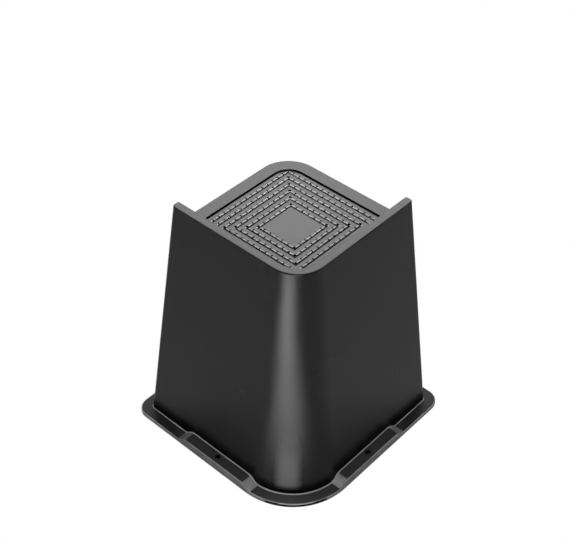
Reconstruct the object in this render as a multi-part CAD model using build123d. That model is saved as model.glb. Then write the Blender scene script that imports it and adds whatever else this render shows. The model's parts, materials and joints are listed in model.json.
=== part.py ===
from build123d import *
import math
import os

# One moulded bed riser. Millimetres, +Z up, the floor at z = 0 and the
# middle of the square base at the origin. The two raised walls stand on the
# -X and -Y sides. The seat is open towards +X and +Y.

# Driving dimensions

# heights
seat_height = 203.2
rim_step = 1.4
tread_depth = 0.9
wall_rise = 21.8
flange_thickness = 3.2
bench_height = 8.5

# footprint of the flange
base_side = 190.0
flange_big_radius = 58.0
flange_small_radius = 13.0
flange_edge_radius = 1.2

# tapered body, inside the flange at the floor, half width at the top
flange_width = 10.0
body_half_top = 64.4
body_big_radius_floor = 48.0
body_big_radius_top = 25.0
body_small_radius = 3.4
junction_radius = 1.0
top_edge_radius = 1.0
platform_edge_radius = 0.8

# raised walls round two sides of the seat
wall_base_thickness = 10.2
wall_inner_draft = 0.8
wall_inner_radius = 17.0
wall_inner_chamfer = 0.8
wall_nose_radius = 3.0

# seat recess and its tread of notched rings round a smooth plate
border_open = 11.5
border_walled = 0.5
recess_radius = 16.0
ring_count = 6
plate_pitches = 6
groove_width = 1.2
notch_width = 1.2
notch_reach = 2.6
notch_shift = 1.4
tread_chamfer = 0.4

# raised benches in the middle of each side, with a fixing hole each
bench_end_margin = 7.0
bench_slope_length = 15.0
bench_sink = 0.4
bench_run_out = 8.0
bench_skin = 2.8
bench_pocket_margin = 3.0
fixing_hole_diameter = 5.0
fixing_hole_inset = 6.4

# hollow underside
shell_thickness = 3.2
plate_thickness = 3.4
wall_skin = 2.6
rib_thickness = 2.6
rib_floor_gap = 6.0

# Worked out from the dimensions above

base_half = base_side / 2
body_half_floor = base_half - flange_width
platform_top = seat_height + rim_step
wall_top = platform_top + wall_rise
groove_floor = seat_height - tread_depth
plate_underside = groove_floor - plate_thickness
slope = (body_half_floor - body_half_top) / wall_top


def body_half(z):
    """Half width of the tapered body at a height."""
    return body_half_floor - slope * z


def big_radius(z):
    """Radius of the body's two large corners at a height."""
    return body_big_radius_floor + (body_big_radius_top - body_big_radius_floor) * z / wall_top


bench_flat_half = base_half - flange_big_radius - bench_end_margin
wall_inner = body_half(platform_top) - wall_base_thickness
recess_open = body_half(platform_top) - border_open
recess_walled = -(wall_inner - border_walled)
recess_side = recess_open - recess_walled
pitch = recess_side / (2 * ring_count + plate_pitches)


def outline(low, high, big, small):
    """Square outline on its own plane, the large radius at the corner
    between the walls and the corner opposite, the small one at the others.
    A radius of zero leaves a corner sharp."""
    radii = [big, small, big, small]
    corners = [(low, low), (high, low), (high, high), (low, high)]
    steps = [(1, 0), (0, 1), (-1, 0), (0, -1)]
    inset = 1 - math.sqrt(0.5)
    edges = []
    for k in range(4):
        here = corners[k]
        after = corners[(k + 1) % 4]
        step = steps[k]
        turn = steps[(k + 1) % 4]
        r0 = radii[k]
        r1 = radii[(k + 1) % 4]
        start = (here[0] + step[0] * r0, here[1] + step[1] * r0)
        stop = (after[0] - step[0] * r1, after[1] - step[1] * r1)
        edges.append(Line(start, stop))
        if r1 > 0:
            middle = (
                after[0] + (turn[0] - step[0]) * r1 * inset,
                after[1] + (turn[1] - step[1]) * r1 * inset,
            )
            end = (after[0] + turn[0] * r1, after[1] + turn[1] * r1)
            edges.append(ThreePointArc(stop, middle, end))
    return make_face(edges)


def rounded_square(low, high, radius):
    """Square outline with one radius at all four corners."""
    return outline(low, high, radius, radius)


def mirrored(shape):
    """The same shape on the other side of the riser's diagonal."""
    return shape.mirror(Plane(origin=(0, 0, 0), z_dir=(1, -1, 0)))


def lies_along(edge, wire, tolerance):
    """True if an edge, seen from above, follows a flat outline."""
    for u in (0.0, 0.5, 1.0):
        p = edge.position_at(u)
        if wire.distance_to(Vertex(p.X, p.Y, 0)) > tolerance:
            return False
    return True


def between_heights(edge, low, high):
    """True if an edge lies wholly between two heights."""
    box = edge.bounding_box()
    return box.min.Z > low - 0.01 and box.max.Z < high + 0.01


def tapered_block(inward, z0, z1):
    """The tapered body between two heights, drawn in by a wall thickness,
    its two small corners still sharp."""
    faces = []
    for z in (z0, z1):
        half = body_half(z) - inward
        faces.append(Pos(0, 0, z) * outline(-half, half, big_radius(z) - inward, 0))
    return loft(faces, ruled=True)


def small_corner_edges(block):
    """The two long sharp edges at the ends of the raised walls."""
    picked = []
    for edge in block.edges():
        p = edge.position_at(0.5)
        if abs(p.X + p.Y) < 0.01 and abs(p.X) > body_half_top - 1:
            picked.append(edge)
    return picked


def rounded_block(top, radius):
    """The tapered body up to a height, its small corners and its top edge
    rounded."""
    block = tapered_block(0, 0, top)
    block = fillet(small_corner_edges(block), body_small_radius)
    loop = [e for e in block.edges() if between_heights(e, top, top)]
    return fillet(loop, radius)


def seat_space():
    """Space over the platform, inside the two raised walls. Its far sides
    lie clear of the body, and it flares at the top of the walls."""
    far = body_half_floor + 20
    flare = wall_top - wall_inner_chamfer
    lean = wall_inner_draft / wall_rise
    shift = lean * (flare - platform_top)
    stations = [(platform_top, 0), (flare, shift), (wall_top + 2, shift + wall_inner_chamfer + 2)]
    faces = []
    for z, out in stations:
        near = -wall_inner - out
        square = Pos(near, near) * Rectangle(far - near, far - near, align=(Align.MIN, Align.MIN))
        corner = min(square.vertices(), key=lambda v: v.X + v.Y)
        faces.append(Pos(0, 0, z) * fillet([corner], wall_inner_radius))
    return loft(faces, ruled=True)


def wall_nose_cutter():
    """Piece that rounds the upright inner edge at the end of one raised
    wall. It follows the draft of the wall's inner face and of its end."""
    radius = wall_nose_radius
    clear = wall_base_thickness
    lean = wall_inner_draft / wall_rise
    inset = radius * (1 - math.sqrt(0.5))
    faces = []
    for z in (platform_top, wall_top + 1):
        x = -wall_inner - lean * (z - platform_top)
        y = body_half(z)
        edges = [
            ThreePointArc((x - radius, y), (x - inset, y - inset), (x, y - radius)),
            Line((x, y - radius), (x + clear, y - radius)),
            Line((x + clear, y - radius), (x + clear, y + clear)),
            Line((x + clear, y + clear), (x - radius, y + clear)),
            Line((x - radius, y + clear), (x - radius, y)),
        ]
        faces.append(Pos(0, 0, z) * make_face(edges))
    return loft(faces, ruled=True)


def platform_fringe():
    """What the rounded edge of the platform takes off on its open sides."""
    side = wall_inner + body_half_floor + 20
    depth = 2 * platform_edge_radius
    stand = (Align.MIN, Align.MIN, Align.MIN)
    slab = Pos(-wall_inner, -wall_inner, platform_top - depth) * Box(side, side, depth, align=stand)
    return slab - rounded_block(platform_top, platform_edge_radius)


def walled_body():
    """The body with its platform and the two raised walls."""
    block = rounded_block(wall_top, top_edge_radius) - seat_space()
    nose = wall_nose_cutter()
    block -= nose
    block -= mirrored(nose)
    return block - platform_fringe()


def flange_face():
    """Footprint of the flange."""
    return outline(-base_half, base_half, flange_big_radius, flange_small_radius)


def flange():
    """Flat flange with its upper edge rounded."""
    plate = extrude(flange_face(), flange_thickness)
    rim = [e for e in plate.edges() if between_heights(e, flange_thickness, flange_thickness)]
    return fillet(rim, flange_edge_radius)


def bench_profile():
    """Long side view of a bench. Each end is one S-curve that leaves the
    flat top without a corner, dips just under the top of the flange and
    runs on inside it for a little."""
    top = bench_flat_half
    foot = top + bench_slope_length
    end = foot + bench_run_out
    low = flange_thickness - bench_sink
    bend = bench_slope_length / 2
    edges = [
        Line((-end, 0), (end, 0)),
        Line((end, 0), (end, low)),
        Line((end, low), (foot, low)),
        Bezier((foot, low), (foot - bend, low), (top + bend, bench_height), (top, bench_height)),
        Line((top, bench_height), (-top, bench_height)),
        Bezier((-top, bench_height), (-top - bend, bench_height), (-foot + bend, low), (-foot, low)),
        Line((-foot, low), (-end, low)),
        Line((-end, low), (-end, 0)),
    ]
    return Plane.XZ * make_face(edges)


def bench():
    """Bench of the side that faces -Y, its outer edge rounded."""
    inside = 2 * body_half_floor - shell_thickness
    stand = (Align.CENTER, Align.CENTER, Align.MIN)
    room = extrude(flange_face(), bench_height) - Box(2 * base_side, inside, bench_height, align=stand)
    solid = extrude(bench_profile(), base_half + 1) & room
    wire = flange_face().faces()[0].outer_wire()
    rim = []
    for edge in solid.edges():
        low = flange_thickness - bench_sink
        if between_heights(edge, low, bench_height) and lies_along(edge, wire, 0.01):
            rim.append(edge)
    return fillet(rim, flange_edge_radius)


def bench_cuts():
    """Pocket under a bench and the fixing hole through its top."""
    near = body_half_floor + 0.4
    pocket = Pos(0, -near, 0) * Box(
        2 * (bench_flat_half - bench_pocket_margin),
        base_half - bench_skin - near,
        bench_height - flange_thickness,
        align=(Align.CENTER, Align.MAX, Align.MIN),
    )
    hole = Pos(0, -base_half + fixing_hole_inset, 0) * Cylinder(
        fixing_hole_diameter / 2,
        bench_height + 1,
        align=(Align.CENTER, Align.CENTER, Align.MIN),
    )
    return pocket + hole


def foot():
    """Flange with a bench in the middle of each of its four sides."""
    solid = flange()
    one = bench()
    for side in (one, mirrored(one)):
        solid += side
        solid += Rot(0, 0, 180) * side
    return solid


def junction_edges(solid):
    """Where the body meets the flange and the benches."""
    middle = (flange_thickness + bench_height) / 2
    half = body_half(middle)
    face = outline(-half, half, big_radius(middle), body_small_radius)
    wire = face.faces()[0].outer_wire()
    picked = []
    for edge in solid.edges():
        if between_heights(edge, flange_thickness, bench_height) and lies_along(edge, wire, 1.0):
            picked.append(edge)
    return picked


def platform_block():
    """What stays solid inside the shell: the platform and the inner skins
    of the two raised walls."""
    near = -wall_inner - wall_skin
    far = body_half_floor + 20
    square = Pos(near, near) * Rectangle(far - near, far - near, align=(Align.MIN, Align.MIN))
    corner = min(square.vertices(), key=lambda v: v.X + v.Y)
    face = fillet([corner], wall_inner_radius + wall_skin)
    return extrude(Pos(0, 0, plate_underside) * face, wall_top)


def ribs():
    """Two upright ribs that cross under the platform."""
    length = 2 * body_half_floor
    height = plate_underside + 1 - rib_floor_gap
    stand = (Align.CENTER, Align.CENTER, Align.MIN)
    cross = Box(rib_thickness, length, height, align=stand)
    cross += Box(length, rib_thickness, height, align=stand)
    return Pos(0, 0, rib_floor_gap) * cross


def cavity():
    """Hollow of the underside, with the slots that run up into the walls."""
    space = tapered_block(shell_thickness, -1, wall_top - shell_thickness)
    return space - platform_block() - ribs()


def recess():
    """Shallow pocket of the seat, down to the top of the tread."""
    face = rounded_square(recess_walled, recess_open, recess_radius)
    return extrude(Pos(0, 0, seat_height) * face, rim_step + 1)


def strip(x0, y0, x1, y1):
    """Flat rectangle between two corners."""
    size = (x1 - x0, y1 - y0)
    return Pos((x0 + x1) / 2, (y0 + y1) / 2) * Rectangle(size[0], size[1])


def ring_lines():
    """Middle lines of the square grooves: near side, far side, each way."""
    lines = []
    for k in range(1, ring_count + 1):
        lines.append((recess_walled + k * pitch, recess_open - k * pitch))
    return lines


def tread_plan():
    """Grooves and notches seen from above. The notches stand on the side of
    each groove that lies away from the corner between the walls."""
    half = groove_width / 2
    pieces = []
    for near, far in ring_lines():
        count = round((far - near) / pitch)
        for line in (near, far):
            pieces.append(strip(line - half, near - half, line + half, far + half))
            pieces.append(strip(near - half, line - half, far + half, line + half))
            for j in range(count + 1):
                start = near + j * pitch + notch_shift - notch_width / 2
                stop = start + notch_width
                pieces.append(strip(line, start, line + notch_reach, stop))
                pieces.append(strip(start, line, stop, line + notch_reach))
    room = rounded_square(recess_walled, recess_open, recess_radius)
    return (Sketch() + pieces) & room


def tread_grooves():
    """The grooves and notches of the tread as one cutter."""
    return extrude(Pos(0, 0, groove_floor) * tread_plan(), tread_depth + 0.5)


def tread_chamfers():
    """Cutters for the sloped upper edge along the far side of each groove."""
    c = tread_chamfer
    half = groove_width / 2
    tuck = (tread_depth - tread_chamfer) / 2
    cutters = []
    for near, far in ring_lines():
        length = far - near
        for line in (near, far):
            edge = line + half
            points = [
                (edge - tuck, seat_height - c - tuck),
                (edge + c + 0.5, seat_height + 0.5),
                (edge - tuck, seat_height + 0.5),
            ]
            wedge = extrude(Plane.XZ * Polygon(*points, align=None), -length)
            one = Pos(0, near, 0) * wedge
            cutters.append(one)
            cutters.append(mirrored(one))
    return cutters


def riser():
    """The whole moulding."""
    solid = walled_body() + foot()
    solid = fillet(junction_edges(solid), junction_radius)
    for k in range(4):
        solid -= Rot(0, 0, 90 * k) * bench_cuts()
    solid -= cavity()
    solid -= recess()
    solid -= tread_grooves()
    solid -= tread_chamfers()
    return solid


os.makedirs("parts", exist_ok=True)
part = riser()
export_step(part, "parts/riser.step")
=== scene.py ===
import json
import math

import bpy
from mathutils import Matrix, Vector

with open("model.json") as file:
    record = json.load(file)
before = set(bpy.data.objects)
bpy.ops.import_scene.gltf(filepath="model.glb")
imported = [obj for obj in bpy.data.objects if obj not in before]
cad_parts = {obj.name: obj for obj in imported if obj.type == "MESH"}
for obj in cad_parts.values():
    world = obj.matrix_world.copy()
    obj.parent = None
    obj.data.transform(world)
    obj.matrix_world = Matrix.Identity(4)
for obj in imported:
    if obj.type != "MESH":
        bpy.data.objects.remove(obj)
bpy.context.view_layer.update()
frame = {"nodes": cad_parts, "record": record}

# Looks for the bed riser: moulded black plastic, a pale floor and soft studio light
riser = frame["nodes"]["riser"]
mounts = {mount["name"]: mount for mount in frame["record"]["mounts"]}

# Heights above the floor, in metres. Here and below, a pair is the start and the end of a soft step
SEAT = mounts["seat"]["pos_m"][2]
BENCH = mounts["fixing_holes"]["pos_m"][2]
FLANGE = 0.0032
FOOT_TOP = (BENCH + 0.0004, BENCH + 0.0012)
RECESS_BOTTOM = (SEAT - 0.02, SEAT - 0.01)
RECESS_TOP = (SEAT + 0.0003, SEAT + 0.0010)
TREAD_BOTTOM = (SEAT - 0.0020, SEAT - 0.0012)
TREAD_TOP = (SEAT + 0.0002, SEAT + 0.0008)
GROOVE_TOP = (SEAT - 0.0006, SEAT - 0.00045)
FRONT_START = (0.006, 0.014)
FRONT_STOP = (0.0, 0.080)
BEND_START = (0.012, 0.020)
SHADE_STOP = (0.0095, 0.0210)

# Tread: distance from groove to groove, and how far its middle lies from the part's axis
PITCH = 0.0061426
TREAD_SHIFT = -mounts["seat"]["pos_m"][0]
TREAD_REACH = (0.0555, 0.0560)
PLATE_HALF = 3 * PITCH
FAR_RINGS = PLATE_HALF - 0.0001
NEAR_RINGS = 0.0017 - PLATE_HALF
NOTCHED_RINGS = PLATE_HALF - 0.0012

# Tread: place within one pitch of the painted highlight on the bright edge and of the notches' painted shade
EDGE_START = (0.00050, 0.00060)
EDGE_STOP = (0.00140, 0.00155)
NOTCH_START = (PITCH - 0.0011, PITCH - 0.0009)

# Foot: reach from the part's axis
OUTER_REACH = (0.0910, 0.0925)
JOINT_REACH = (0.0864, 0.0872)
BODY_REACH = (0.0855, 0.0870)

# Small corners: distance from both middle planes, the product of x and y, and the share of the flange tops'
# painted light kept there
BEND_ACROSS = (0.058, 0.060)
SMALL_CORNER = (-0.0050, -0.0030)
SMALL_CORNER_SHARE = 0.35

# Bench: distance from its middle at which it slopes down to the flange
BENCH_END = (0.040, 0.052)

# How far up a face looks, as the upward share of its normal
TOP_UP = (0.55, 0.90)
FLAT_UP = (0.80, 0.95)
SLOPE_UP_FROM = (0.70, 0.80)
SLOPE_UP_TO = (0.93, 0.985)
BENT_UP_FROM = (0.25, 0.40)
BENT_UP_TO = (0.75, 0.85)
SKIRT_UP_TO = (0.25, 0.50)
WALL_UP_TO = (0.15, 0.25)

# Where the front corner faces, and how squarely, for the painted highlights on the front corner and down the
# small corners' bend
FRONT_X = -0.799
FRONT_Y = -0.602
FRONT_FACING = (0.960, 1.0)
BEND_FACING = (-0.46, -0.30)

# Colours of the plastic, and of the light, highlights and shade painted onto it, as linear values
SIDE_COLOUR = (0.0100, 0.0100, 0.0103, 1.0)
TOP_COLOUR = (0.0205, 0.0205, 0.0210, 1.0)
RECESS_COLOUR = (0.050, 0.050, 0.051, 1.0)
# Painted light: flange and bench tops painted greyer, less of it at the small corners
FLAT_PAINTED_LIGHT_COLOUR = (0.082, 0.082, 0.083, 1.0)
# Painted highlights: paler slopes, skirts, rim and junction line
SLOPE_PAINTED_HIGHLIGHT = (0.50, 0.50, 0.505, 1.0)
SKIRT_PAINTED_HIGHLIGHT = (0.25, 0.25, 0.253, 1.0)
RIM_PAINTED_HIGHLIGHT = (0.30, 0.30, 0.303, 1.0)
JOINT_PAINTED_HIGHLIGHT = (0.40, 0.40, 0.404, 1.0)
# Painted highlights: a pale patch low on the front corner, and a pale line down the small corners' bend
FRONT_PAINTED_HIGHLIGHT = (0.15, 0.15, 0.1515, 1.0)
BEND_PAINTED_HIGHLIGHT = (0.26, 0.26, 0.263, 1.0)
# Painted highlight on the far edges of the tread's rings
DASH_PAINTED_HIGHLIGHT = (0.78, 0.78, 0.785, 1.0)
# Painted shade: black in the tread's grooves and notches and on the body just above the foot
PAINTED_SHADE_BLACK = (0.002, 0.002, 0.002, 1.0)
WHITE = (1.0, 1.0, 1.0, 1.0)

# Noises, each as scale, detail and roughness
GRAIN_NOISE = (1500.0, 2.0, 0.65)
FINE_NOISE = (900.0, 2.0, 0.6)
FOOT_NOISE = (60.0, 3.0, 0.6)
BROAD_NOISE = (35.0, 3.0, 0.55)
DRIFT_NOISE = (14.0, 2.0, 0.5)
FLOOR_NOISE = (4.0, 2.0, 0.5)

# Unevenness of the painted light and highlights on the foot, and of all colours by the broad and the fine
# noise
FOOT_NOISE_RANGE = (0.25, 0.6)
FOOT_LEAST = 0.6
BROAD_CHANGE = 0.35
BROAD_LEAST = 0.82
FINE_CHANGE = 0.2
FINE_LEAST = 0.9

# Gloss of the plastic
PLASTIC_IOR = 1.5
SIDE_SHINE = 0.39
TOP_SHINE_MORE = 0.16
DULL_LOSS = 0.95
SHADE_DULL = 0.85
FLAT_DULL = 0.92
SIDE_ROUGHNESS = 0.22
SIDE_DRIFT = 0.08
TOP_ROUGHNESS = 0.42
TOP_DRIFT = 0.12
GRAIN_HEIGHT = 0.00018
SIDE_GRAIN = 0.06
TOP_GRAIN = 0.35

# Floor
FLOOR_RADIUS = 6.0
FLOOR_SIDES = 96
FLOOR_DROP = 0.0004
FLOOR_DARKER = (0.50, 0.50, 0.50, 1.0)
FLOOR_PALER = (0.54, 0.54, 0.54, 1.0)
UNDER_HALF = 0.092
UNDER_CORNER = 0.14

# Lamps and world
LAMP_AIM = (0.0, 0.0, 0.12)
SPOT_SOFTNESS = 0.08
WORLD_STRENGTH = 0.02

# Camera: focal length in pixels of the photograph, and where it stands
PHOTO_WIDTH = 569.0
FOCAL_PIXELS = 1183.8
SENSOR_WIDTH = 36.0
CAMERA_PLACE = (-0.524, -0.459, 0.781)
CAMERA_FORWARD = (0.5565, 0.4956, -0.6669)
CAMERA_ROLL = 0.835
CLIP_START = 0.01
CLIP_END = 50.0


class Graph:
    """Short hand for building a node tree."""

    def __init__(self, tree):
        self.tree = tree
        self.tree.nodes.clear()

    def add(self, kind, **settings):
        node = self.tree.nodes.new(kind)
        for name, value in settings.items():
            setattr(node, name, value)
        return node

    def link(self, source, target):
        self.tree.links.new(source, target)

    def put(self, socket, value):
        if isinstance(value, (int, float, tuple)):
            socket.default_value = value
        else:
            self.link(value, socket)

    def math(self, operation, a, b=0.0, c=0.0):
        node = self.add("ShaderNodeMath", operation=operation)
        for socket, value in zip(node.inputs, (a, b, c)):
            self.put(socket, value)
        return node.outputs[0]

    def times(self, first, *others):
        """Product of all its values."""
        product = first
        for other in others:
            product = self.math("MULTIPLY", product, other)
        return product

    def larger(self, a, b):
        return self.math("MAXIMUM", a, b)

    def size(self, value):
        return self.math("ABSOLUTE", value)

    def smooth(self, value, low, high, start=0.0, stop=1.0):
        """Soft step from start, at low, to stop, at high."""
        node = self.add("ShaderNodeMapRange", interpolation_type="SMOOTHSTEP")
        self.put(node.inputs["Value"], value)
        node.inputs["From Min"].default_value = low
        node.inputs["From Max"].default_value = high
        node.inputs["To Min"].default_value = start
        node.inputs["To Max"].default_value = stop
        return node.outputs["Result"]

    def fall(self, value, low, high):
        """Soft step from one, at low, to nought, at high."""
        return self.smooth(value, low, high, 1.0, 0.0)

    def noise(self, vector, scale, detail, roughness):
        node = self.add("ShaderNodeTexNoise")
        self.link(vector, node.inputs["Vector"])
        node.inputs["Scale"].default_value = scale
        node.inputs["Detail"].default_value = detail
        node.inputs["Roughness"].default_value = roughness
        return node.outputs["Fac"]

    def mix(self, factor, a, b, **settings):
        """Colour between a, at factor nought, and b, at factor one."""
        node = self.add("ShaderNodeMix", data_type="RGBA", **settings)
        self.put(node.inputs[0], factor)
        self.put(node.inputs[6], a)
        self.put(node.inputs[7], b)
        return node.outputs[2]

    def parts(self, vector):
        """The x, y and z of a vector."""
        split = self.add("ShaderNodeSeparateXYZ")
        self.link(vector, split.inputs[0])
        return split.outputs


class Surface(Graph):
    """Node tree of the plastic, with the places and directions that its masks are worked out from."""

    def __init__(self, tree):
        super().__init__(tree)
        self.place = self.add("ShaderNodeTexCoord").outputs["Object"]
        self.x, self.y, self.z = self.parts(self.place)
        normal = self.add("ShaderNodeNewGeometry").outputs["Normal"]
        self.facing_x, self.facing_y, self.up = self.parts(normal)
        self.reach = self.larger(self.size(self.x), self.size(self.y))
        self.across = self.math("MINIMUM", self.size(self.x), self.size(self.y))
        self.top = self.smooth(self.up, *TOP_UP)
        self.low = self.fall(self.z, *FOOT_TOP)
        self.flat = self.times(self.low, self.smooth(self.up, *FLAT_UP))
        self.fine = self.noise(self.place, *FINE_NOISE)


def plain_colour(g):
    """Near black sides, a touch greyer on the grained top and in the recess."""
    base = g.mix(g.top, SIDE_COLOUR, TOP_COLOUR)
    below_rim = g.fall(g.z, *RECESS_TOP)
    above_body = g.smooth(g.z, *RECESS_BOTTOM)
    return g.mix(g.times(g.top, below_rim, above_body), base, RECESS_COLOUR)


def foot_painted_light(g, base):
    """Painted light: greyer flange and bench tops; painted highlights: paler slopes, skirts, rim and
    junction.
    """
    outer = g.times(g.low, g.smooth(g.reach, *OUTER_REACH))
    uneven = g.smooth(g.noise(g.place, *FOOT_NOISE), *FOOT_NOISE_RANGE, FOOT_LEAST, 1.0)
    bent = g.times(g.smooth(g.up, *BENT_UP_FROM), g.fall(g.up, *BENT_UP_TO))
    away = g.smooth(g.times(g.x, g.y), *SMALL_CORNER, SMALL_CORNER_SHARE, 1.0)
    slope = g.times(g.smooth(g.up, *SLOPE_UP_FROM), g.fall(g.up, *SLOPE_UP_TO), g.low, uneven)
    skirt = g.times(outer, g.fall(g.up, *SKIRT_UP_TO), uneven)
    joint = g.times(bent, g.fall(g.reach, *JOINT_REACH), g.low)
    # Painted light on the flange and bench tops, then painted highlights on slopes, skirts, rim and junction
    base = g.mix(g.times(g.flat, away), base, FLAT_PAINTED_LIGHT_COLOUR)
    base = g.mix(slope, base, SLOPE_PAINTED_HIGHLIGHT)
    base = g.mix(skirt, base, SKIRT_PAINTED_HIGHLIGHT)
    base = g.mix(g.times(outer, bent), base, RIM_PAINTED_HIGHLIGHT)
    return g.mix(joint, base, JOINT_PAINTED_HIGHLIGHT)


def corner_painted_highlights(g, base):
    """Painted highlights: front corner paler low down, small corners with a thin pale line down the bend."""
    toward = g.math("MULTIPLY_ADD", g.facing_x, FRONT_X, g.times(g.facing_y, FRONT_Y))
    front = g.times(g.smooth(toward, *FRONT_FACING), g.smooth(g.z, *FRONT_START), g.fall(g.z, *FRONT_STOP))
    base = g.mix(front, base, FRONT_PAINTED_HIGHLIGHT)
    bend = g.fall(g.times(g.facing_x, g.facing_y), *BEND_FACING)
    bend = g.times(bend, g.smooth(g.z, *BEND_START), g.smooth(g.across, *BEND_ACROSS))
    return g.mix(bend, base, BEND_PAINTED_HIGHLIGHT)


def tread_painted_light_masks(g):
    """Painted highlight on the far edges of the tread's rings, and painted shade: the black of its grooves
    and notches.
    """
    inside = g.times(
        g.smooth(g.z, *TREAD_BOTTOM),
        g.fall(g.reach, *TREAD_REACH),
        g.fall(g.z, *TREAD_TOP),
    )
    groove = g.times(inside, g.fall(g.z, *GROOVE_TOP))
    along_x = g.math("ADD", g.x, TREAD_SHIFT)
    along_y = g.math("ADD", g.y, TREAD_SHIFT)
    on_x = g.math("GREATER_THAN", g.size(along_x), g.size(along_y))
    off = g.math("MULTIPLY_ADD", on_x, g.math("SUBTRACT", along_x, along_y), along_y)
    past = g.math("FLOORED_MODULO", off, PITCH)
    far_rings = g.math("GREATER_THAN", off, FAR_RINGS)
    near_rings = g.math("LESS_THAN", off, NEAR_RINGS)
    edge = g.times(g.smooth(past, *EDGE_START), g.fall(past, *EDGE_STOP))
    dash_highlight = g.times(edge, g.larger(far_rings, near_rings), inside)
    ringed = g.math("GREATER_THAN", g.size(off), NOTCHED_RINGS)
    notch = g.times(g.smooth(past, *NOTCH_START), ringed, inside)
    return dash_highlight, g.larger(groove, notch)


def foot_shade(g):
    """Soft black on the body just above the flange and the benches."""
    above = g.math("MULTIPLY_ADD", g.smooth(g.across, *BENCH_END), BENCH - FLANGE, g.z)
    return g.times(g.fall(above, *SHADE_STOP), g.fall(g.up, *WALL_UP_TO), g.fall(g.reach, *BODY_REACH))


def mottling(g):
    """Faint unevenness that all colours are multiplied by."""
    broad = g.math("MULTIPLY_ADD", g.noise(g.place, *BROAD_NOISE), BROAD_CHANGE, BROAD_LEAST)
    return g.times(broad, g.math("MULTIPLY_ADD", g.fine, FINE_CHANGE, FINE_LEAST))


def gloss(g, shader, groove_shade, shade):
    """Satin sides with a slow drift, broader gloss on the top, dull grooves and flange tops."""
    dull = g.larger(groove_shade, g.times(shade, SHADE_DULL))
    dull = g.larger(dull, g.times(g.low, g.smooth(g.up, *FLAT_UP, 0.0, FLAT_DULL)))
    shine = g.math("MULTIPLY_ADD", g.top, TOP_SHINE_MORE, SIDE_SHINE)
    kept = g.math("SUBTRACT", 1.0, g.times(dull, DULL_LOSS))
    g.link(g.times(shine, kept), shader.inputs["Specular IOR Level"])
    drift = g.noise(g.place, *DRIFT_NOISE)
    rough = g.add("ShaderNodeMix", data_type="FLOAT")
    g.link(g.top, rough.inputs[0])
    g.link(g.math("MULTIPLY_ADD", drift, SIDE_DRIFT, SIDE_ROUGHNESS), rough.inputs[2])
    g.link(g.math("MULTIPLY_ADD", g.fine, TOP_DRIFT, TOP_ROUGHNESS), rough.inputs[3])
    g.link(rough.outputs[0], shader.inputs["Roughness"])


def grain(g, shader):
    """Mould grain, stronger on the top."""
    bump = g.add("ShaderNodeBump")
    bump.inputs["Distance"].default_value = GRAIN_HEIGHT
    g.link(g.smooth(g.up, *TOP_UP, SIDE_GRAIN, TOP_GRAIN), bump.inputs["Strength"])
    g.link(g.noise(g.place, *GRAIN_NOISE), bump.inputs["Height"])
    g.link(bump.outputs[0], shader.inputs["Normal"])


def moulded_plastic():
    """Black polypropylene: satin sides, a finely grained top."""
    material = bpy.data.materials.new("moulded_plastic")
    material.use_nodes = True
    g = Surface(material.node_tree)
    out = g.add("ShaderNodeOutputMaterial")
    shader = g.add("ShaderNodeBsdfPrincipled")
    shader.inputs["IOR"].default_value = PLASTIC_IOR
    g.link(shader.outputs[0], out.inputs[0])
    dash_highlight, groove_shade = tread_painted_light_masks(g)
    shade = foot_shade(g)
    base = plain_colour(g)
    base = foot_painted_light(g, base)
    base = corner_painted_highlights(g, base)
    # Painted highlight on the tread, then painted shade in its grooves and notches and above the foot
    base = g.mix(dash_highlight, base, DASH_PAINTED_HIGHLIGHT)
    base = g.mix(groove_shade, base, PAINTED_SHADE_BLACK)
    base = g.mix(shade, base, PAINTED_SHADE_BLACK)
    base = g.mix(1.0, base, mottling(g), blend_type="MULTIPLY")
    g.link(base, shader.inputs["Base Color"])
    gloss(g, shader, groove_shade, shade)
    grain(g, shader)
    return material


def floor_material():
    """Plain pale floor with a barely visible mottling, white to the camera except under the riser."""
    material = bpy.data.materials.new("pale_floor")
    material.use_nodes = True
    g = Graph(material.node_tree)
    out = g.add("ShaderNodeOutputMaterial")
    diffuse = g.add("ShaderNodeBsdfDiffuse")
    glow = g.add("ShaderNodeEmission")
    place = g.add("ShaderNodeTexCoord").outputs["Object"]
    tone = g.noise(place, *FLOOR_NOISE)
    g.link(g.mix(tone, FLOOR_DARKER, FLOOR_PALER), diffuse.inputs[0])
    g.put(glow.inputs[0], WHITE)
    g.put(glow.inputs[1], 1.0)
    x, y = g.parts(place)[:2]
    past_side = g.math("GREATER_THAN", g.larger(g.size(x), g.size(y)), UNDER_HALF)
    past_corner = g.math("GREATER_THAN", g.math("ADD", g.size(x), g.size(y)), UNDER_CORNER)
    ray = g.add("ShaderNodeLightPath")
    chooser = g.add("ShaderNodeMixShader")
    g.link(g.times(ray.outputs["Is Camera Ray"], g.larger(past_side, past_corner)), chooser.inputs[0])
    g.link(diffuse.outputs[0], chooser.inputs[1])
    g.link(glow.outputs[0], chooser.inputs[2])
    g.link(chooser.outputs[0], out.inputs[0])
    return material


def make_floor():
    """A round floor, large enough for every view."""
    ring = []
    for k in range(FLOOR_SIDES):
        angle = 2 * math.pi * k / FLOOR_SIDES
        ring.append((FLOOR_RADIUS * math.cos(angle), FLOOR_RADIUS * math.sin(angle), -FLOOR_DROP))
    mesh = bpy.data.meshes.new("floor")
    mesh.from_pydata(ring, [], [tuple(range(FLOOR_SIDES))])
    mesh.materials.append(floor_material())
    floor = bpy.data.objects.new("floor", mesh)
    bpy.context.scene.collection.objects.link(floor)


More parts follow.
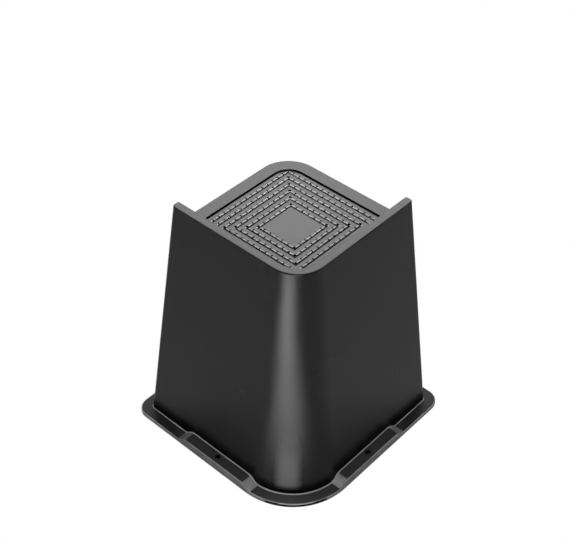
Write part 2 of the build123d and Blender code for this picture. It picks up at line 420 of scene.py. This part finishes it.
def place_lamp(data, place, aim):
    """Puts a lamp at a place and turns it to its aim."""
    lamp = bpy.data.objects.new(data.name, data)
    lamp.location = place
    lamp.rotation_mode = "QUATERNION"
    lamp.rotation_quaternion = (aim - place).to_track_quat("-Z", "Y")
    bpy.context.scene.collection.objects.link(lamp)


def soft_box(name, toward, distance, size, power):
    """Area light that stands in a direction from the riser and looks at it."""
    data = bpy.data.lights.new(name, "AREA")
    data.shape = "RECTANGLE"
    data.size, data.size_y = size
    data.energy = power
    aim = Vector(LAMP_AIM)
    place_lamp(data, aim + Vector(toward).normalized() * distance, aim)


def floor_spot(name, place, aim, reach, power):
    """Soft spot that lights a round patch of the floor, which the front corner mirrors."""
    start = Vector(place)
    end = Vector(aim)
    data = bpy.data.lights.new(name, "SPOT")
    data.energy = power
    data.spot_blend = 1.0
    data.shadow_soft_size = SPOT_SOFTNESS
    data.spot_size = 2 * math.atan(reach / (end - start).length)
    place_lamp(data, start, end)


def make_lights():
    """Soft boxes behind, beside, before and over the riser, and two spots on the floor before it."""
    side = (0.5, 0.5)
    soft_box("light_behind", toward=(0.567, 0.486, 0.665), distance=1.6, size=(1.2, 0.8), power=22.5)
    soft_box("light_left", toward=(-0.665, 0.486, 0.567), distance=1.5, size=side, power=2.5)
    soft_box("light_right", toward=(0.567, -0.665, 0.486), distance=1.5, size=side, power=2.5)
    soft_box("light_front", toward=(-0.60, -0.52, 0.25), distance=1.8, size=(0.8, 0.8), power=11.0)
    soft_box("light_over", toward=(-0.25, -0.22, 1.0), distance=1.6, size=(0.6, 0.6), power=1.0)
    floor_spot("strip_near", place=(-0.32, -0.27, 1.7), aim=(-0.190, -0.130, 0.0), reach=0.065, power=2000.0)
    floor_spot("strip_far", place=(-0.38, -0.27, 1.7), aim=(-0.370, -0.150, 0.0), reach=0.15, power=1500.0)


def make_world():
    """White to the camera, and nearly dark to all else, so that the lamps alone light the riser."""
    world = bpy.data.worlds.new("studio")
    world.use_nodes = True
    bpy.context.scene.world = world
    g = Graph(world.node_tree)
    out = g.add("ShaderNodeOutputWorld")
    dim = g.add("ShaderNodeBackground")
    g.put(dim.inputs[0], WHITE)
    g.put(dim.inputs[1], WORLD_STRENGTH)
    white = g.add("ShaderNodeBackground")
    g.put(white.inputs[0], WHITE)
    g.put(white.inputs[1], 1.0)
    ray = g.add("ShaderNodeLightPath")
    chooser = g.add("ShaderNodeMixShader")
    g.link(ray.outputs["Is Camera Ray"], chooser.inputs[0])
    g.link(dim.outputs[0], chooser.inputs[1])
    g.link(white.outputs[0], chooser.inputs[2])
    g.link(chooser.outputs[0], out.inputs[0])


def make_camera():
    """Camera at the photograph's viewing angle."""
    data = bpy.data.cameras.new("camera")
    data.sensor_fit = "HORIZONTAL"
    data.sensor_width = SENSOR_WIDTH
    data.lens = FOCAL_PIXELS / PHOTO_WIDTH * SENSOR_WIDTH
    data.clip_start = CLIP_START
    data.clip_end = CLIP_END
    camera = bpy.data.objects.new("camera", data)
    bpy.context.scene.collection.objects.link(camera)
    forward = Vector(CAMERA_FORWARD).normalized()
    level = forward.cross(Vector((0.0, 0.0, 1.0))).normalized()
    above = level.cross(forward)
    roll = math.radians(CAMERA_ROLL)
    side = level * math.cos(roll) + above * math.sin(roll)
    top = above * math.cos(roll) - level * math.sin(roll)
    turn = Matrix((side, top, -forward)).transposed()
    camera.matrix_world = Matrix.Translation(Vector(CAMERA_PLACE)) @ turn.to_4x4()
    bpy.context.scene.camera = camera


riser.data.materials.clear()
riser.data.materials.append(moulded_plastic())
make_floor()
make_lights()
make_world()
make_camera()
bpy.context.scene.view_settings.view_transform = "Standard"
